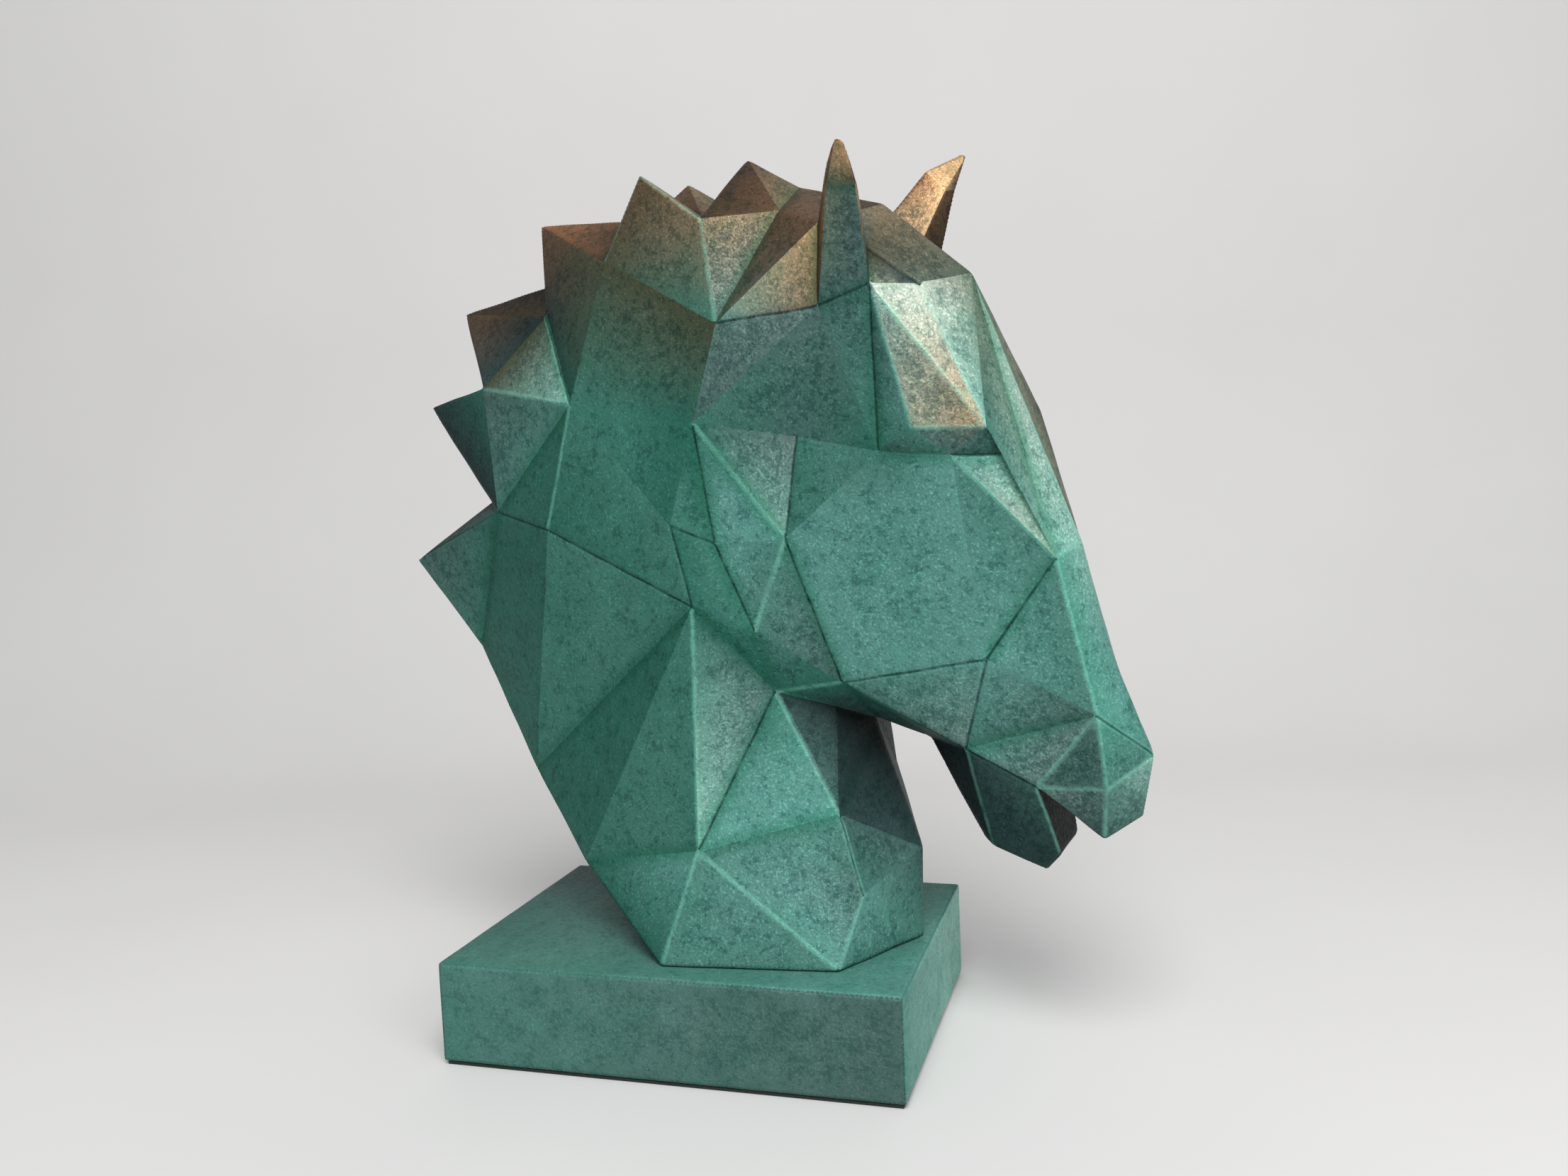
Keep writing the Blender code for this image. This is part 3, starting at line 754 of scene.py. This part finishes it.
def patina(name, speckle=1.0):
    """Painted colours with an uneven coat, dark speckle, light speckle painted on as highlights of the grain,
    worn folds and dark seams.
    """
    material = bpy.data.materials.new(name)
    n = Nodes(material)
    dark, light, metal = n.attribute("dark"), n.attribute("light"), n.attribute("metal")
    broad, sponge, patch = n.noise(BROAD, 3), n.noise(SPONGE, 6, 0.7, 2.0), n.noise(PATCH, 5, 0.62)
    pores, grain, fine = n.noise(PORE, 5, 0.75, 8.0), n.noise(GRAIN, 4, 0.72), n.noise(FINE, 3, 0.6, 4.0)
    inner = n.step(n.attribute("inset"), 0.05, 0.6, 0.15, 1.0)
    uneven = n.total((broad, 0.5), (patch, 0.5))
    colour = n.coat("thick", uneven, n.colour("paint"))
    colour = n.coat("thin", uneven, colour)
    colour = n.coat("sponged", sponge, colour)
    colour = n.coat("valley", n.attribute("valley"), colour)
    crowded = n.total((pores, 1.0), (patch, 0.4), (n.math("MULTIPLY", dark, inner), 0.22))
    colour = n.coat("speck", crowded, colour, speckle)
    colour = n.coat("pit", grain, colour, n.step(dark, 0.0, 0.6, 0.6 * speckle, speckle))
    # Painted highlight: bright flecks where the fine noise peaks, more where the light speckle is high,
    # standing for light caught by the grain.
    painted_glint_mask = n.total((fine, 1.0), (n.math("MULTIPLY", light, inner), 0.14))
    colour = n.coat("painted_glint", painted_glint_mask, colour, speckle)
    edge = n.total((n.attribute("worn"), 1.0), (pores, WORN_RAGGED))
    rubbed = n.step(edge, WORN_START, WORN_FULL, 0.0, WORN_STRENGTH)
    rubbed = n.math("MULTIPLY", rubbed, n.step(patch, 0.34, 0.55, 0.4, 1.0))
    lifted = n.mix(0.5, colour, WORN_LIFT, "MULTIPLY")
    colour = n.mix(rubbed, colour, n.mix(0.5, linear(*WORN_PAINT), lifted))
    colour = n.coat("seam", n.attribute("seam"), colour, n.step(patch, 0.35, 0.6, 0.45, 0.95))
    n.put(n.shader.inputs["Base Color"], colour)
    n.put(n.shader.inputs["Metallic"], metal)
    n.shader.inputs["Specular IOR Level"].default_value = PAINT_SPECULAR
    n.put(n.shader.inputs["Roughness"], n.step(grain, 0.3, 0.7, 0.6, 0.4))
    n.put(n.shader.inputs["Normal"], n.bump(n.total((grain, 0.6), (fine, 0.5)), RELIEF_DEPTH, 1.0))
    return material


def slate_card(name):
    """Dark card with a fine tooth."""
    material = bpy.data.materials.new(name)
    n = Nodes(material)
    shades = [linear(*shade) for shade in CARD_SHADES]
    n.put(n.shader.inputs["Base Color"], n.mix(n.noise(3, 4), *shades))
    n.put(n.shader.inputs["Roughness"], n.step(n.noise(1, 2), 0.3, 0.7, 0.7, 0.85))
    n.put(n.shader.inputs["Normal"], n.bump(n.noise(0.6, 2), 0.1, 0.4))
    return material


def make_bust():
    bm, at = bust_shell()
    worn = named_edges(bm, at, WORN_FOLDS)
    seams = side_edges(bm, at, SEAMS)
    surface = fine_surface(bm, painter(at), BUST_WOBBLE, MOST_ROUNDING, seams, worn)
    bm.free()
    low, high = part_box("bust")
    bust = add_piece("painted_bust", surface, low, high, patina("patina paint"))
    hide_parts("bust")
    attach(bust, "root")


def plinth_tones(face, points):
    """The plinth's colour at each point of a face: four paints blended along it and towards the back."""
    low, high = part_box("plinth")
    along = np.clip((points[:, 0] * MM - low.x) / (high.x - low.x), 0, 1)[:, None]
    back = np.clip((points[:, 1] * MM - low.y) / (high.y - low.y), 0, 1)[:, None]
    names = PLINTH_SIDES
    if face.normal.z > 0.5:
        names = PLINTH_TOP
    elif abs(face.normal.x) > 0.5:
        names = PLINTH_ENDS
    rows = np.array([(*linear(*PAINTS[name][:3])[:3], *PAINTS[name][3:]) for name in names])
    rows[:, 4:] *= PLINTH_SPECKLE
    near = rows[0] * (1 - along) + rows[1] * along
    far = rows[2] * (1 - along) + rows[3] * along
    return near * (1 - back) + far * back


def make_plinth():
    low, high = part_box("plinth")
    bm = bmesh.new()
    bmesh.ops.create_cube(bm, size=1)
    for vertex in bm.verts:
        vertex.co = [(high if side > 0 else low)[k] / MM for k, side in enumerate(vertex.co)]
    bmesh.ops.recalc_face_normals(bm, faces=bm.faces)
    surface = fine_surface(bm, plinth_tones, PLINTH_WOBBLE, PLINTH_ROUNDING)
    bm.free()
    material = patina("plinth paint", PLINTH_SPECKLE)
    plinth = add_piece("painted_plinth", surface, low, high, material)
    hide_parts("plinth")
    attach(plinth, "root")


def dress_sheet():
    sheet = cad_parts["bottom_sheet"]
    sheet.data.materials.clear()
    sheet.data.materials.append(slate_card("dark card"))


def add_camera():
    data = bpy.data.cameras.new("camera")
    data.sensor_width = SENSOR_WIDTH
    data.lens = FOCAL_LENGTH
    data.clip_start = 0.01
    turns = (Matrix.Rotation(math.radians(CAMERA_ROLL), 4, "Y")
             @ Matrix.Rotation(math.radians(CAMERA_DIP), 4, "X")
             @ Matrix.Rotation(math.radians(CAMERA_TURN), 4, "Z")
             @ Matrix.Rotation(math.radians(90), 4, "X"))
    camera = bpy.data.objects.new("camera", data)
    camera.matrix_world = Matrix.Translation(Vector(CAMERA_PLACE) * MM) @ turns
    bpy.context.scene.collection.objects.link(camera)
    bpy.context.scene.camera = camera


def add_sweep():
    """A pale paper floor that curves up behind the object."""
    bend = SWEEP_BACK - SWEEP_RADIUS
    profile = [(SWEEP_NEAR, 0.0), (bend, 0.0)]
    for k in range(1, SWEEP_STEPS):
        angle = math.radians(90 * k / SWEEP_STEPS)
        profile.append((bend + SWEEP_RADIUS * math.sin(angle), SWEEP_RADIUS * (1 - math.cos(angle))))
    profile += [(SWEEP_BACK, SWEEP_RADIUS), (SWEEP_BACK, SWEEP_TOP)]
    across = Vector((math.cos(math.radians(CAMERA_TURN)), math.sin(math.radians(CAMERA_TURN)), 0))
    away = Vector((-across.y, across.x, 0))
    mesh = bpy.data.meshes.new("sweep")
    points = [across * side + away * y + Vector((0, 0, z))
              for y, z in profile for side in (-SWEEP_HALF, SWEEP_HALF)]
    quads = [(2 * k, 2 * k + 1, 2 * k + 3, 2 * k + 2) for k in range(len(profile) - 1)]
    mesh.from_pydata(points, [], quads)
    mesh.shade_smooth()
    paper = bpy.data.materials.new("paper")
    n = Nodes(paper)
    n.put(n.shader.inputs["Base Color"], n.mix(n.noise(PAPER_BLOTCH, 2), *PAPER_SHADES))
    n.shader.inputs["Roughness"].default_value = 0.9
    mesh.materials.append(paper)
    sweep = bpy.data.objects.new("sweep", mesh)
    bpy.context.scene.collection.objects.link(sweep)


def add_lamp(name, place, target, size, power):
    data = bpy.data.lights.new(name, "AREA")
    data.shape = "DISK"
    data.size = size
    data.energy = power
    light = bpy.data.objects.new(name, data)
    light.location = place
    light.rotation_euler = (Vector(target) - Vector(place)).to_track_quat("-Z", "Y").to_euler()
    bpy.context.scene.collection.objects.link(light)


def add_lights():
    for name, lamp in LAMPS.items():
        add_lamp(name, *lamp)
    world = bpy.data.worlds.new("studio")
    world.use_nodes = True
    sky = world.node_tree.nodes["Background"]
    sky.inputs["Color"].default_value = WORLD_COLOUR
    sky.inputs["Strength"].default_value = WORLD_STRENGTH
    bpy.context.scene.world = world
    bpy.context.scene.view_settings.view_transform = "Standard"


add_camera()
make_bust()
make_plinth()
dress_sheet()
add_sweep()
add_lights()
